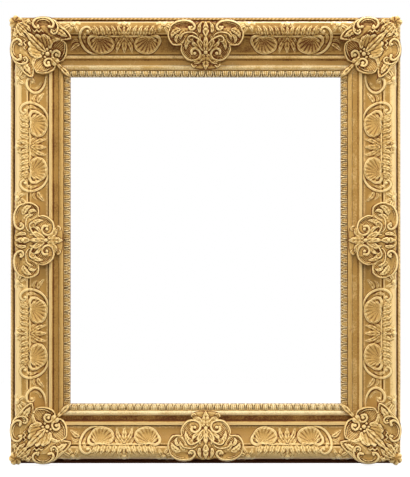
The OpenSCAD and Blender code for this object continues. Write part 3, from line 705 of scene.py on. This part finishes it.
def grid_over(low, high, cell):
    # A fine flat grid, and where each of its points lies
    bm = bmesh.new()
    columns = int((high[0] - low[0]) / cell)
    rows = int((high[1] - low[1]) / cell)
    bmesh.ops.create_grid(bm, x_segments=columns, y_segments=rows, size=0.5)
    spots = np.array([vert.co for vert in bm.verts])
    s = low[0] + (spots[:, 0] + 0.5) * (high[0] - low[0])
    u = low[1] + (spots[:, 1] + 0.5) * (high[1] - low[1])
    return bm, s, u


def keep_tagged(bm):
    plain = [f for f in bm.faces if not any(v.tag for v in f.verts)]
    bmesh.ops.delete(bm, geom=plain, context="FACES")
    loose = [v for v in bm.verts if not v.link_faces]
    bmesh.ops.delete(bm, geom=loose, context="VERTS")


def relief_tone(height, s, u, h, near, far, far_gain):
    # Brighter the more a point stands over what lies just beside it and a little farther off
    tone = 0.48
    for k, gain in ((near, 0.24), (far, far_gain)):
        around = (height(s + k, u) + height(s - k, u) + height(s, u + k) + height(s, u - k)) / 4
        tone = tone + (h - around) * gain
    return np.clip(tone, 0, 1)


def close_below(bm, layer, under, thin):
    # Close a relief with a seat that follows what it lies on, but leaves the casting a least thickness
    below = bmesh.ops.extrude_face_region(bm, geom=bm.faces[:], use_keep_orig=True)["geom"]
    copies = [g for g in below if isinstance(g, bmesh.types.BMVert)]
    spots = np.array([vert.co for vert in copies]) / MM
    seat = np.minimum(under(spots[:, 0], -spots[:, 1]), spots[:, 2] - thin)
    for vert, low_h in zip(copies, seat):
        vert.co.z = low_h * MM
        vert[layer] = 0.1
    bmesh.ops.recalc_face_normals(bm, faces=bm.faces[:])


def casting_mesh(name, outline, height, under, cell=0.8):
    # A grid trimmed to the outline, with the points just past it drawn back on it, raised to the relief
    bm, s, u = grid_over(outline.min(axis=0) - cell, outline.max(axis=0) + cell, cell)
    for vert, a, b, mark in zip(bm.verts, s, u, within(outline, s, u)):
        vert.co = (a, b, 0)
        vert.tag = bool(mark)
    keep_tagged(bm)
    spots = np.array([vert.co for vert in bm.verts])
    s, u = spots[:, 0].copy(), spots[:, 1].copy()
    stray = np.array([not vert.tag for vert in bm.verts])
    ring = np.vstack([outline, outline[:1]])
    best, t, _ = feet(ring, s[stray], u[stray])
    s[stray] = ring[best, 0] + t * (ring[best + 1, 0] - ring[best, 0])
    u[stray] = ring[best, 1] + t * (ring[best + 1, 1] - ring[best, 1])
    h = height(s, u)
    layer = bm.verts.layers.float.new("relief")
    for vert, a, b, c, tone in zip(bm.verts, s, u, h, relief_tone(height, s, u, h, 1.5, 4.5, 0.14)):
        vert.co = (a * MM, -b * MM, c * MM)
        vert[layer] = tone
    close_below(bm, layer, under, 0.6)
    return as_mesh(name, bm)


def paint_light_top_bottom(bm):
    # Painted shade on the top length, as far as the mitres, and painted light on the bottom one
    layer = bm.verts.layers.float["relief"]
    for vert in bm.verts:
        past_mitre = abs(vert.co.z) - abs(vert.co.x) - (run(1) - run(0)) / 2 * MM
        share = min(max(past_mitre / (8 * MM) + 0.5, 0.0), 1.0)
        change = -0.17 if vert.co.z > 0 else 0.06
        tone = 0.5 + (vert[layer] - 0.5) * (1 + 0.25 * share) + change * share
        vert[layer] = min(max(tone, 0.0), 1.0)


def place_casting(name, mesh, matrix, node, extra=None):
    bm = bmesh.new()
    bm.from_mesh(mesh)
    if extra:
        bm.from_mesh(extra)
    bmesh.ops.transform(bm, matrix=matrix, verts=bm.verts[:])
    # Painted shade on the top length's castings, painted light on the bottom length's
    paint_light_top_bottom(bm)
    piece = add_piece(name, bm, gold_casting, 60)
    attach(piece, "frame")
    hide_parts(node)


leg_half = [
    (9, 9), (27, 6.5), (38, 4), (47, 1.5), (58, -0.5), (70, 0.5), (79, 4), (88, 11), (98, 20), (107, 29),
    (112, 37), (110.5, 43), (100, 44.2), (96, 44.5), (101, 47), (104, 54), (103.5, 65), (99.5, 76), (92, 82),
    (89, 84), (95, 89), (102, 94), (107, 101), (109.3, 109.3)]


def edge_drop(line, s, u):
    # A cartouche falls off towards its outline
    return 2.6 * np.exp(-(nearest(line, s, u)[0] / 1.8) ** 2)


def corner_relief(a, b):
    # The two legs are alike, so both are worked as one. Their grounds run into each other on the mitre
    a, b = np.maximum(a, b), np.minimum(a, b)
    soft = 6.0
    legs = np.exp(-np.clip(a, -40, 200) / soft) + np.exp(-np.clip(b, -40, 200) / soft)
    depth = -soft * np.log(legs) + 0.35 * soft
    ground = boss(np.minimum(depth, np.minimum(a, b) + 3))
    r = Relief(a, b, ground - edge_drop(np.vstack([corner_outline, corner_outline[:1]]), a, b))
    # Dished and hatched fields lie lowest, then the shell, the leaves and the rims
    r.field([(84, 12), (94, 21), (104, 31), (107, 39), (96, 41), (84, 38), (76, 33), (80, 24)], 1.6, 4.2, 1.1)
    r.field([(94, 46), (101, 52), (101, 64), (97, 76), (88, 80), (78, 66), (70, 54), (72, 44), (84, 43)],
            1.6, 4.2, 1.2)
    r.field([(42, 23), (52, 24), (64, 27), (70, 34), (62, 40), (52, 36), (44, 31)], 1.2)
    r.shell((67, 67), 43.0, 21.0, 3.4)
    r.leaf([(64, 64), (52, 52), (40, 40), (28, 28)], 7.0, 3.4, 4, 2.0, ditch=1.2)
    r.leaf([(72, 58), (72, 48), (68, 40), (61, 33)], 5.0, 2.8, 3, 1.0, ditch=1.0)
    r.leaf([(83, 24), (90, 28), (97, 33), (104, 37)], 5.5, 2.0, 3, 0.2)
    r.leaf([(70, 46), (78, 44), (86, 42), (92, 43)], 3.4, 1.8, 3, 0.0)
    r.leaf([(84, 12), (91, 17), (97, 22), (104, 27)], 3.4, 2.2, 2, 0.2)
    r.leaf([(22, 9), (28, 7), (34, 9), (38, 15)], 4.6, 2.8, 2, 0.4)
    r.leaf([(18, 13), (25, 16), (32, 21), (38, 28)], 5.0, 3.2, 3, 1.0)
    r.leaf([(14, 14), (20, 20), (26, 26), (33, 33)], 5.0, 3.6, 3, 1.4)
    r.leaf([(74, 74), (84, 84), (95, 95), (109, 109)], 8.5, 3.6, 5, 0.6)
    r.scroll([(30, 18), (31, 12.5), (35, 9.5), (39.5, 13)], 1.4, 2.0, 0.4)
    r.scroll([(41, 24), (45, 29), (49, 25), (53, 29), (57, 25.5), (61, 29)], 1.2, 2.0, 0.4, parts=2)
    r.sink((61, 12.5), (13, 7), 2.8)
    r.scroll([(52, 21), (46, 20), (42, 14.5), (44.5, 7), (51, 3.2), (60, 1.8), (69, 3.2), (76, 8), (79.5, 14),
              (77, 20), (71, 19)], 2.0, 2.8, 0.8, (1.1, 1.3), 0.4, ditch=0.9)
    r.scroll([(48, 12), (53, 7.5), (60, 6), (67, 7.2), (73, 11.5)], 1.0, 1.8, 0.0)
    r.button((51, 18), 2.6, 2.4, 0.6)
    r.scroll([(77, 5), (84, 12), (87, 20), (86, 28), (80, 32), (75, 29), (76, 25)],
             1.5, 2.2, 0.6, (0.5, 1.2), ditch=0.9)
    r.button((79.5, 27), 2.0, 2.0, 0.4)
    r.scroll([(79, 6), (87, 12), (96, 20), (104, 28), (109, 35), (110, 40.5)], 1.3, 2.0, 0.2, (0.6, 0.9))
    r.scroll([(110, 40.5), (102, 42), (93.5, 42.6)], 1.2, 1.8, 0.2, (0.9, 0.7), parts=3)
    r.scroll([(98, 47), (99, 56), (97.5, 65), (93, 73)], 0.9, 1.2, 0.0)
    r.scroll([(93, 43.5), (101, 48), (103, 56), (102, 66), (98, 75.5), (91, 81.5), (83, 81), (77, 74),
              (77, 66), (83, 62), (89, 65.5), (88, 71)], 1.8, 2.5, 0.4, (0.5, 1.4), 0.4, ditch=0.9)
    r.button((83.6, 69.5), 3.2, 2.6, 0.6)
    r.button((67.5, 67.5), 4.0, 3.2, 1.8)
    r.button((67, 59.5), 2.6, 2.4, 1.2)
    r.button((73.5, 63), 2.2, 2.0, 0.8)
    return r.h


def side_under(s, u):
    # The seat of a cartouche: 1 mm into the moulding and the slip, and clear over the outer edge
    seat = np.where(u < slip_u, face(u), slip_face(u)) - 1.0
    return np.where(u < torus_u + 1, torus_foot_h + 1, seat)


def corner_under(s, u):
    return side_under(s, np.minimum(s, u))


leg = eased(leg_half[1:], 4)
corner_outline = np.vstack([leg, leg[::-1][1:, ::-1], [leg_half[0]]])
gold_casting = gold_look(
    "gold_on_composition", (0.155, 0.046, 0.012), (0.62, 0.385, 0.115), (0.97, 0.74, 0.34), 0.32)
boss_r, boss_half_h, boss_in = 13.2, 11.5, 11


def leafy_boss():
    # The round acanthus boss on the outer corner, folded in leaves that wrap it from below
    bm = bmesh.new()
    bmesh.ops.create_uvsphere(bm, u_segments=96, v_segments=48, radius=1.0)
    layer = bm.verts.layers.float.new("relief")
    for vert in bm.verts:
        x, y, z = vert.co
        turn = math.atan2(y, x)
        tilt = math.acos(max(-1.0, min(1.0, z)))
        fold = abs(math.cos(3 * turn + 0.9 * tilt)) ** 0.7
        lobe = abs(math.cos(9 * turn - 2.6 * tilt))
        tier = abs(math.cos(2.3 * tilt))
        swell = 0.70 + 0.20 * fold * math.sin(tilt) + 0.06 * lobe * fold + 0.04 * tier
        vert[layer] = min(1.0, max(0.0, (swell - 0.70) * 3.6))
        vert.co = ((x * swell * boss_r + boss_in) * MM, (y * swell * boss_r - boss_in) * MM,
                   (z * swell * boss_half_h + torus_h - 4.5) * MM)
    return as_mesh("leafy_boss", bm)


def at_corner(corner):
    x = (-1 if corner < 2 else 1) * outer_w / 2 * MM
    z = (1 if corner % 3 == 0 else -1) * outer_h / 2 * MM
    stand = Matrix.Rotation(math.pi / 2, 4, "X") @ Matrix.Translation((x, z, 0))
    return stand @ Matrix.Rotation(corner * math.pi / 2, 4, "Z")


CORNERS = ("top_left", "bottom_left", "bottom_right", "top_right")
corner_mesh = casting_mesh("corner_cast", corner_outline, corner_relief, corner_under)
boss_mesh = leafy_boss()
for corner in range(4):
    place_casting("corner_cartouche_" + CORNERS[corner], corner_mesh, at_corner(corner),
                  "corner_" + CORNERS[corner], boss_mesh)

# Centre cartouches
# Four castings glued over the middle of each side: two scrolled lobes with hatched grounds, a leafy
# stem with a bud between them, a crown of ribs over the torus and a foot with volutes on the cove.
lobe_half = [
    (0, 8.5), (8, 8.5), (16, 10.5), (22, 8.5), (30, 5.5), (41, 4.5), (52, 6.5), (61, 13), (67, 22),
    (69.5, 33), (67.5, 43), (61, 53), (52, 54), (45.5, 53.5), (46.5, 61), (42.5, 70), (35.5, 78), (27, 81),
    (22.5, 82.5), (27, 86), (24, 92), (14, 95), (0, 95.5)]
lobe = eased(lobe_half, 4)
centre_outline = np.vstack([lobe, (lobe * [-1, 1])[::-1][1:-1]])


def centre_relief(s, u):
    s = np.abs(s)
    r = Relief(s, u, boss(u) - edge_drop(lobe, s, u))
    r.field([(48, 27), (60, 24), (66, 33), (64, 43), (58, 49), (46, 49), (38, 40), (42, 31)], 1.6, 4.2, 1.2)
    r.field([(16, 37), (30, 34), (40, 46), (43, 56), (38, 68), (30, 74), (28, 58), (20, 52)], 1.6, 4.2, 1.2)
    r.field([(3, 12), (14, 13), (17, 22), (14, 31), (6, 34), (0, 30)], 1.4)
    r.leaf([(46, 24), (53, 26), (59, 31), (62, 39)], 5.6, 2.4, 4, -0.4)
    r.leaf([(38, 26), (42, 30), (45, 35), (46, 42)], 4.4, 2.0, 3, -0.6)
    r.leaf([(49, 34), (53, 38), (54, 43), (52, 48)], 3.2, 1.8, 3, -0.6)
    r.leaf([(22, 38), (30, 42), (35, 50), (36, 60)], 4.6, 2.0, 4, -0.6)
    r.leaf([(11, 30), (12, 23), (11, 17), (8, 11)], 3.6, 2.6, 2, 0.2)
    r.leaf([(0, 36), (0, 28), (0, 20), (0, 10)], 5.6, 3.6, 3, 0.8)
    r.leaf([(3, 62), (9, 54), (12, 46), (10, 36)], 4.6, 3.2, 3, 1.0)
    r.leaf([(0, 64), (0, 54), (0, 44), (0, 33)], 4.6, 4.2, 3, 1.8)
    r.leaf([(6, 58), (15, 55), (22, 49), (25, 41)], 3.6, 2.6, 3, 0.2)
    r.leaf([(0, 68), (0, 77), (0, 86), (0, 95)], 7.5, 3.2, 4, 0.8)
    r.leaf([(3, 68), (8, 76), (14, 82), (21, 85)], 4.4, 2.8, 3, 0.6)
    r.scroll([(46, 38), (41, 32), (33, 29.5), (24, 29.5), (17, 33), (14, 38)], 1.4, 2.24, 0.2)
    r.scroll([(2, 60), (4, 52), (9, 45), (17, 39), (26, 36), (32, 39), (32, 45), (27, 46)],
             1.47, 2.4, 0.8, (0.6, 0.6))
    r.sink((40, 17), (16, 6.5), 2.6)
    r.scroll([(63, 28), (61, 21), (55, 16), (47, 12.8), (38, 12)], 0.8, 1.2, -1.0)
    r.scroll([(40.5, 55), (41, 61), (38, 68), (32, 73.5), (25, 75.5)], 0.8, 1.2, -0.8)
    r.scroll([(66, 27), (64, 19), (57, 12.5), (47, 8.6), (37, 7.8), (27, 10), (20.5, 16), (21, 23),
              (26.5, 24.5), (30, 20.5)], 1.9, 2.6, 0.6, (0.5, 1.3), 0.5, ditch=0.9)
    r.button((26, 20), 2.4, 2.4, 0.4)
    r.scroll([(68, 27), (68, 36), (65, 44.5), (59, 51)], 1.61, 2.4, 0.2, (0.6, 0.9))
    r.scroll([(59, 51), (51, 52), (44, 51.5)], 1.33, 2.24, 0.2, (0.9, 0.8), parts=3)
    r.scroll([(43.5, 52), (44.5, 60), (41, 69), (34, 76.5), (24, 79), (14, 76.5), (9.5, 69.5), (12, 61.5),
              (19, 58), (25.5, 61), (25, 67)], 1.9, 2.5, 0.4, (0.5, 1.3), 0.5, ditch=0.9)
    r.button((20, 66.5), 3.0, 2.8, 0.4)
    r.button((0, 65), 3.6, 3.4, 2.0)
    r.scroll([(14, 80), (21, 81.5), (26, 86), (22, 91), (16.5, 88)], 1.4, 2.08, 0.4)
    r.button((0, 24), 3.0, 3.0, 2.4)
    return r.h


centre_mesh = casting_mesh("centre_cast", centre_outline, centre_relief, side_under)
for side in range(4):
    place_casting("centre_cartouche_" + SIDES[side], centre_mesh, at_side(side), "centre_" + SIDES[side])

# Scroll panels
# Eight thin castings glued on the scooped panel, two on each side: two ribbed bowls on a strap, with
# leaves and a bud, and an outer scroll at each end but the one beside the middle of a short side.
def panel_under(s, u):
    return face(u) - 1.2


def thin_casting_mesh(name, low, high, height, cell=0.8):
    # A grid that lies under the moulding's skin and rises through it only where the ornament is
    bm, s, u = grid_over(low, high, cell)
    h = height(s, u)
    tone = relief_tone(height, s, u, h, 1.3, 4.0, 0.15)
    layer = bm.verts.layers.float.new("relief")
    for vert, a, b, c, t, mark in zip(bm.verts, s, u, h, tone, h > face(u) - 0.3):
        vert.co = (a * MM, -b * MM, c * MM)
        vert[layer] = t
        vert.tag = bool(mark)
    keep_tagged(bm)
    close_below(bm, layer, panel_under, 0.4)
    return as_mesh(name, bm)


# The section with its small steps smoothed away
smooth_u = np.linspace(0, rail_w, 211)
smooth_h = np.convolve(np.pad(face(smooth_u), 6, "edge"), np.ones(13) / 13, "valid")


def thin_relief(s, u):
    # The thin castings follow the moulding, but bridge its small steps. Between strokes they stay under it
    r = Relief(s, u, np.maximum(face(u), np.interp(u, smooth_u, smooth_h)))
    r.h = face(u) - 0.8
    r.foot = face(u) + 0.15
    return r


bowl, bowl_half, ribs_from = (40.5, 50.0), (20.5, 14.5), (46.0, 38.0)


def half_panel(r):
    # Shell: a deeply scooped bowl with ribs that spread from under the hook
    inside = np.hypot((r.s - bowl[0]) / bowl_half[0], (r.u - bowl[1]) / bowl_half[1])
    dish = r.ground + 3.2 - 3.0 * np.clip(1 - inside ** 2, 0, 1)
    from_s, from_u = r.s - ribs_from[0], r.u - ribs_from[1]
    beads = 0.6 + 0.4 * np.abs(np.cos(np.hypot(from_s, from_u) * 1.1))
    ribs = np.abs(np.cos(np.arctan2(from_u, from_s) * 11)) ** 0.8 * beads
    r.h = np.where(inside < 1, np.maximum(r.h, dish + 1.7 * ribs * np.clip(inside * 1.5, 0.2, 1)), r.h)
    # Fringe that climbs to the torus, in leaves that lean outwards
    for i in range(5):
        at = 6.0 + 10.4 * i
        r.leaf([(at, 35), (at + 1.0, 30), (at + 2.8, 24), (at + 6.0, 18.5)], 4.8, 3.2, 2, 0.3)
        r.leaf([(at + 5.4, 34), (at + 6.4, 30), (at + 7.2, 27), (at + 9.0, 23)], 2.6, 2.2, 1, 0.0)
    r.leaf([(0, 38), (0, 46), (0, 54), (0, 65)], 5.6, 3.6, 3, 0.6)
    r.leaf([(3, 41), (8, 46), (12, 54), (14, 64)], 4.6, 3.2, 3, 0.4)
    r.leaf([(3, 38), (9, 39), (14, 42), (17, 49)], 3.4, 2.6, 2, 0.3)
    r.leaf([(4, 33), (8, 27), (10, 21), (9, 16)], 3.8, 3.0, 2, 0.6)
    r.sink((60.5, 47), (4, 8), 2.6)
    # Rim of the bowl, thick where it hooks over
    r.scroll([(31, 36), (23, 41), (19.5, 49), (22, 58), (31, 64), (43, 66), (54, 62), (60.5, 54), (62, 46)],
             2.0, 3.4, 0.4, (0.5, 0.8), 0.6, ditch=2.4)
    r.scroll([(61, 53), (64.5, 46), (63.5, 39), (57, 35.8), (49, 37), (44, 42.5)],
             3.0, 4.2, 0.4, (0.6, 0.35), 0.9, ditch=2.6)
    r.leaf([(3, 34), (0, 28), (0, 22), (0, 17)], 2.6, 3.0, 1, 1.2)
    r.scroll([(0, 35.6), (12, 36), (24, 35.8), (34, 35)], 1.4, 3.0, 0.9, (1, 0.8), ditch=2.4)
    r.leaf([(4, 19), (7, 16.5), (8, 13), (6, 9.5)], 3.0, 2.4, 2)
    r.button((0, 12.8), 5.4, 5.2, -0.6)
    r.button((0, 12.8), 2.2, 2.0, 3.6)


def outer_end(r):
    r.leaf([(70, 32), (73, 37), (72, 43), (69, 49)], 3.4, 2.2, 3, 0.2)
    r.leaf([(81, 50), (87, 51), (92, 55), (98, 60.5)], 4.4, 3.0, 2, 0.2)
    r.leaf([(82, 45), (87, 42.5), (91, 43.5), (95, 47)], 3.0, 2.2, 1, 0.1)
    r.leaf([(60, 22), (56, 25), (54, 29), (55, 34)], 3.4, 2.6, 2, 0.3)
    r.sink((66, 31), (5, 6), 1.6)
    r.scroll([(65, 30), (61, 26.5), (63, 21), (70, 19.8), (76.5, 24.5), (80, 33), (79.5, 43), (75, 53),
              (68, 61), (58, 66.4), (44, 67)], 2.6, 3.6, 0.3, (0.5, 0.3), 0.8, ditch=2.2)
    r.button((66, 27.5), 2.8, 2.8, 0.6)


def long_panel(s, u):
    r = thin_relief(np.abs(s), u)
    half_panel(r)
    outer_end(r)
    return r.h


def short_panel(s, u):
    r = thin_relief(np.abs(s), u)
    half_panel(r)
    plain = r.h.copy()
    outer_end(r)
    return np.where(s > 0, r.h, plain)


long_mesh = thin_casting_mesh("long_panel", (-99, 6), (99, 68.4), long_panel)
short_mesh = thin_casting_mesh("short_panel", (-68, 6), (99, 68.4), short_panel)
panel_share = 0.417
PANELS = (
    ("top_left", 0, -1), ("top_right", 0, 1), ("bottom_left", 2, 1), ("bottom_right", 2, -1),
    ("left_upper", 1, 1), ("left_lower", 1, -1), ("right_upper", 3, -1), ("right_lower", 3, 1))
for name, side, way in PANELS:
    along = way * panel_share * run(side) / 2
    mesh = short_mesh if side % 2 == 0 else long_mesh
    place_casting("scroll_panel_" + name, mesh, at_side(side, along, way < 0), "scrolls_" + name)

# Crescent scrolls
# Plain crescents with a hooked eye, on the long sides only, between a corner and a scroll panel.
# They are glued on the panel.
def crescent_relief(a, u):
    r = thin_relief(a, u)
    r.leaf([(119, 56), (126, 53), (130.5, 47), (130.5, 40)], 3.0, 2.0, 2, -0.2)
    r.scroll([(119.5, 43), (114, 41.5), (112, 35.5), (117, 31), (126, 31), (134, 36), (138, 44), (135.5, 53),
              (127, 60), (116, 63.5), (104, 64.5)], 2.6, 3.6, 0.3, (0.6, 0.3), 0.7, ditch=2.2)
    r.button((118.5, 39.5), 2.8, 2.8, 0.6)
    return r.h


crescent_mesh = thin_casting_mesh("crescent", (101, 26), (142, 68), crescent_relief)
for name, side, way in PANELS[4:]:
    along = way * run(side) / 2
    place_casting("crescent_scroll_" + name, crescent_mesh, at_side(side, along, way > 0), "crescent_" + name)

# Buds
# Small round buds in a cup of leaves, pinned and glued on the torus beside every cartouche, each
# with a long plain leaf that sweeps towards the cartouche.
bud_from_centre = 76.0
bud_from_corner = 114.0


def bud_relief(s, u):
    # The leaf lies towards the cartouche, which is at negative s
    r = thin_relief(s, u)
    r.leaf([(-3, 15), (-9, 18), (-14, 21), (-19, 26)], 4.2, 3.0, 1, 0.2)
    r.leaf([(-2, 9), (-9, 8.5), (-16, 9.5), (-22, 12)], 4.0, 3.0, 1, 0.2)
    r.leaf([(3, 10), (7, 10), (10, 11), (13, 13)], 3.4, 2.4, 2)
    r.leaf([(2, 17), (5, 20), (7, 23), (8, 27)], 3.6, 2.6, 2)
    r.leaf([(-1, 18), (-3, 22), (-5, 25), (-8, 29)], 3.2, 2.4, 1)
    r.button((0, 13), 5.6, 5.4, -0.6)
    r.button((0.5, 12.6), 2.2, 2.0, 3.8)
    return r.h


bud_mesh = thin_casting_mesh("bud", (-24, 5.6), (14, 30), bud_relief, 0.7)
for side in range(4):
    bm = bmesh.new()
    for way in (-1, 1):
        for at, flip in ((bud_from_centre, way < 0), (run(side) / 2 - bud_from_corner, way > 0)):
            one = bud_mesh.copy()
            one.transform(at_side(side, way * at, flip))
            bm.from_mesh(one)
            bpy.data.meshes.remove(one)
    piece = add_piece("torus_buds_" + SIDES[side], bm, gold_casting, 60)
    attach(piece, "frame")
    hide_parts("buds_" + SIDES[side])

for used in (centre_mesh, corner_mesh, boss_mesh, long_mesh, short_mesh, crescent_mesh, bud_mesh):
    bpy.data.meshes.remove(used)

# Hangers, rings and turn buttons
# Stamped brass, dulled by age: two strap hangers with half-round rings, and six turn buttons that
# hold the picture in its rebate. Their round-headed screws and the long countersunk ones are steel.
def metal_look(name, low, high, rough):
    look, tree, base = new_look(name, 0.9, rough)
    place = object_place(tree)
    dull = cloudy(tree, place, 160.0, 5.0, 0.65)
    tree.links.new(shades(tree, dull, [(0.35, low), (0.65, high)]), base.inputs["Base Color"])
    tree.links.new(shades(tree, dull, [(0.3, (rough + 0.2,) * 3), (0.7, (rough - 0.05,) * 3)]),
                   base.inputs["Roughness"])
    raise_grain(tree, base, cloudy(tree, place, 900.0, 2.0), 0.15, 0.0001)
    return look


aged_brass = metal_look("aged_brass", (0.26, 0.17, 0.07), (0.66, 0.50, 0.23), 0.34)
screw_steel = metal_look("screw_steel", (0.20, 0.19, 0.18), (0.52, 0.51, 0.50), 0.38)
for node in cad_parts:
    if node.startswith(("hanger_left", "hanger_right", "ring_", "turn_button")):
        dress(node, aged_brass)
    elif node.endswith("screws"):
        dress(node, screw_steel)
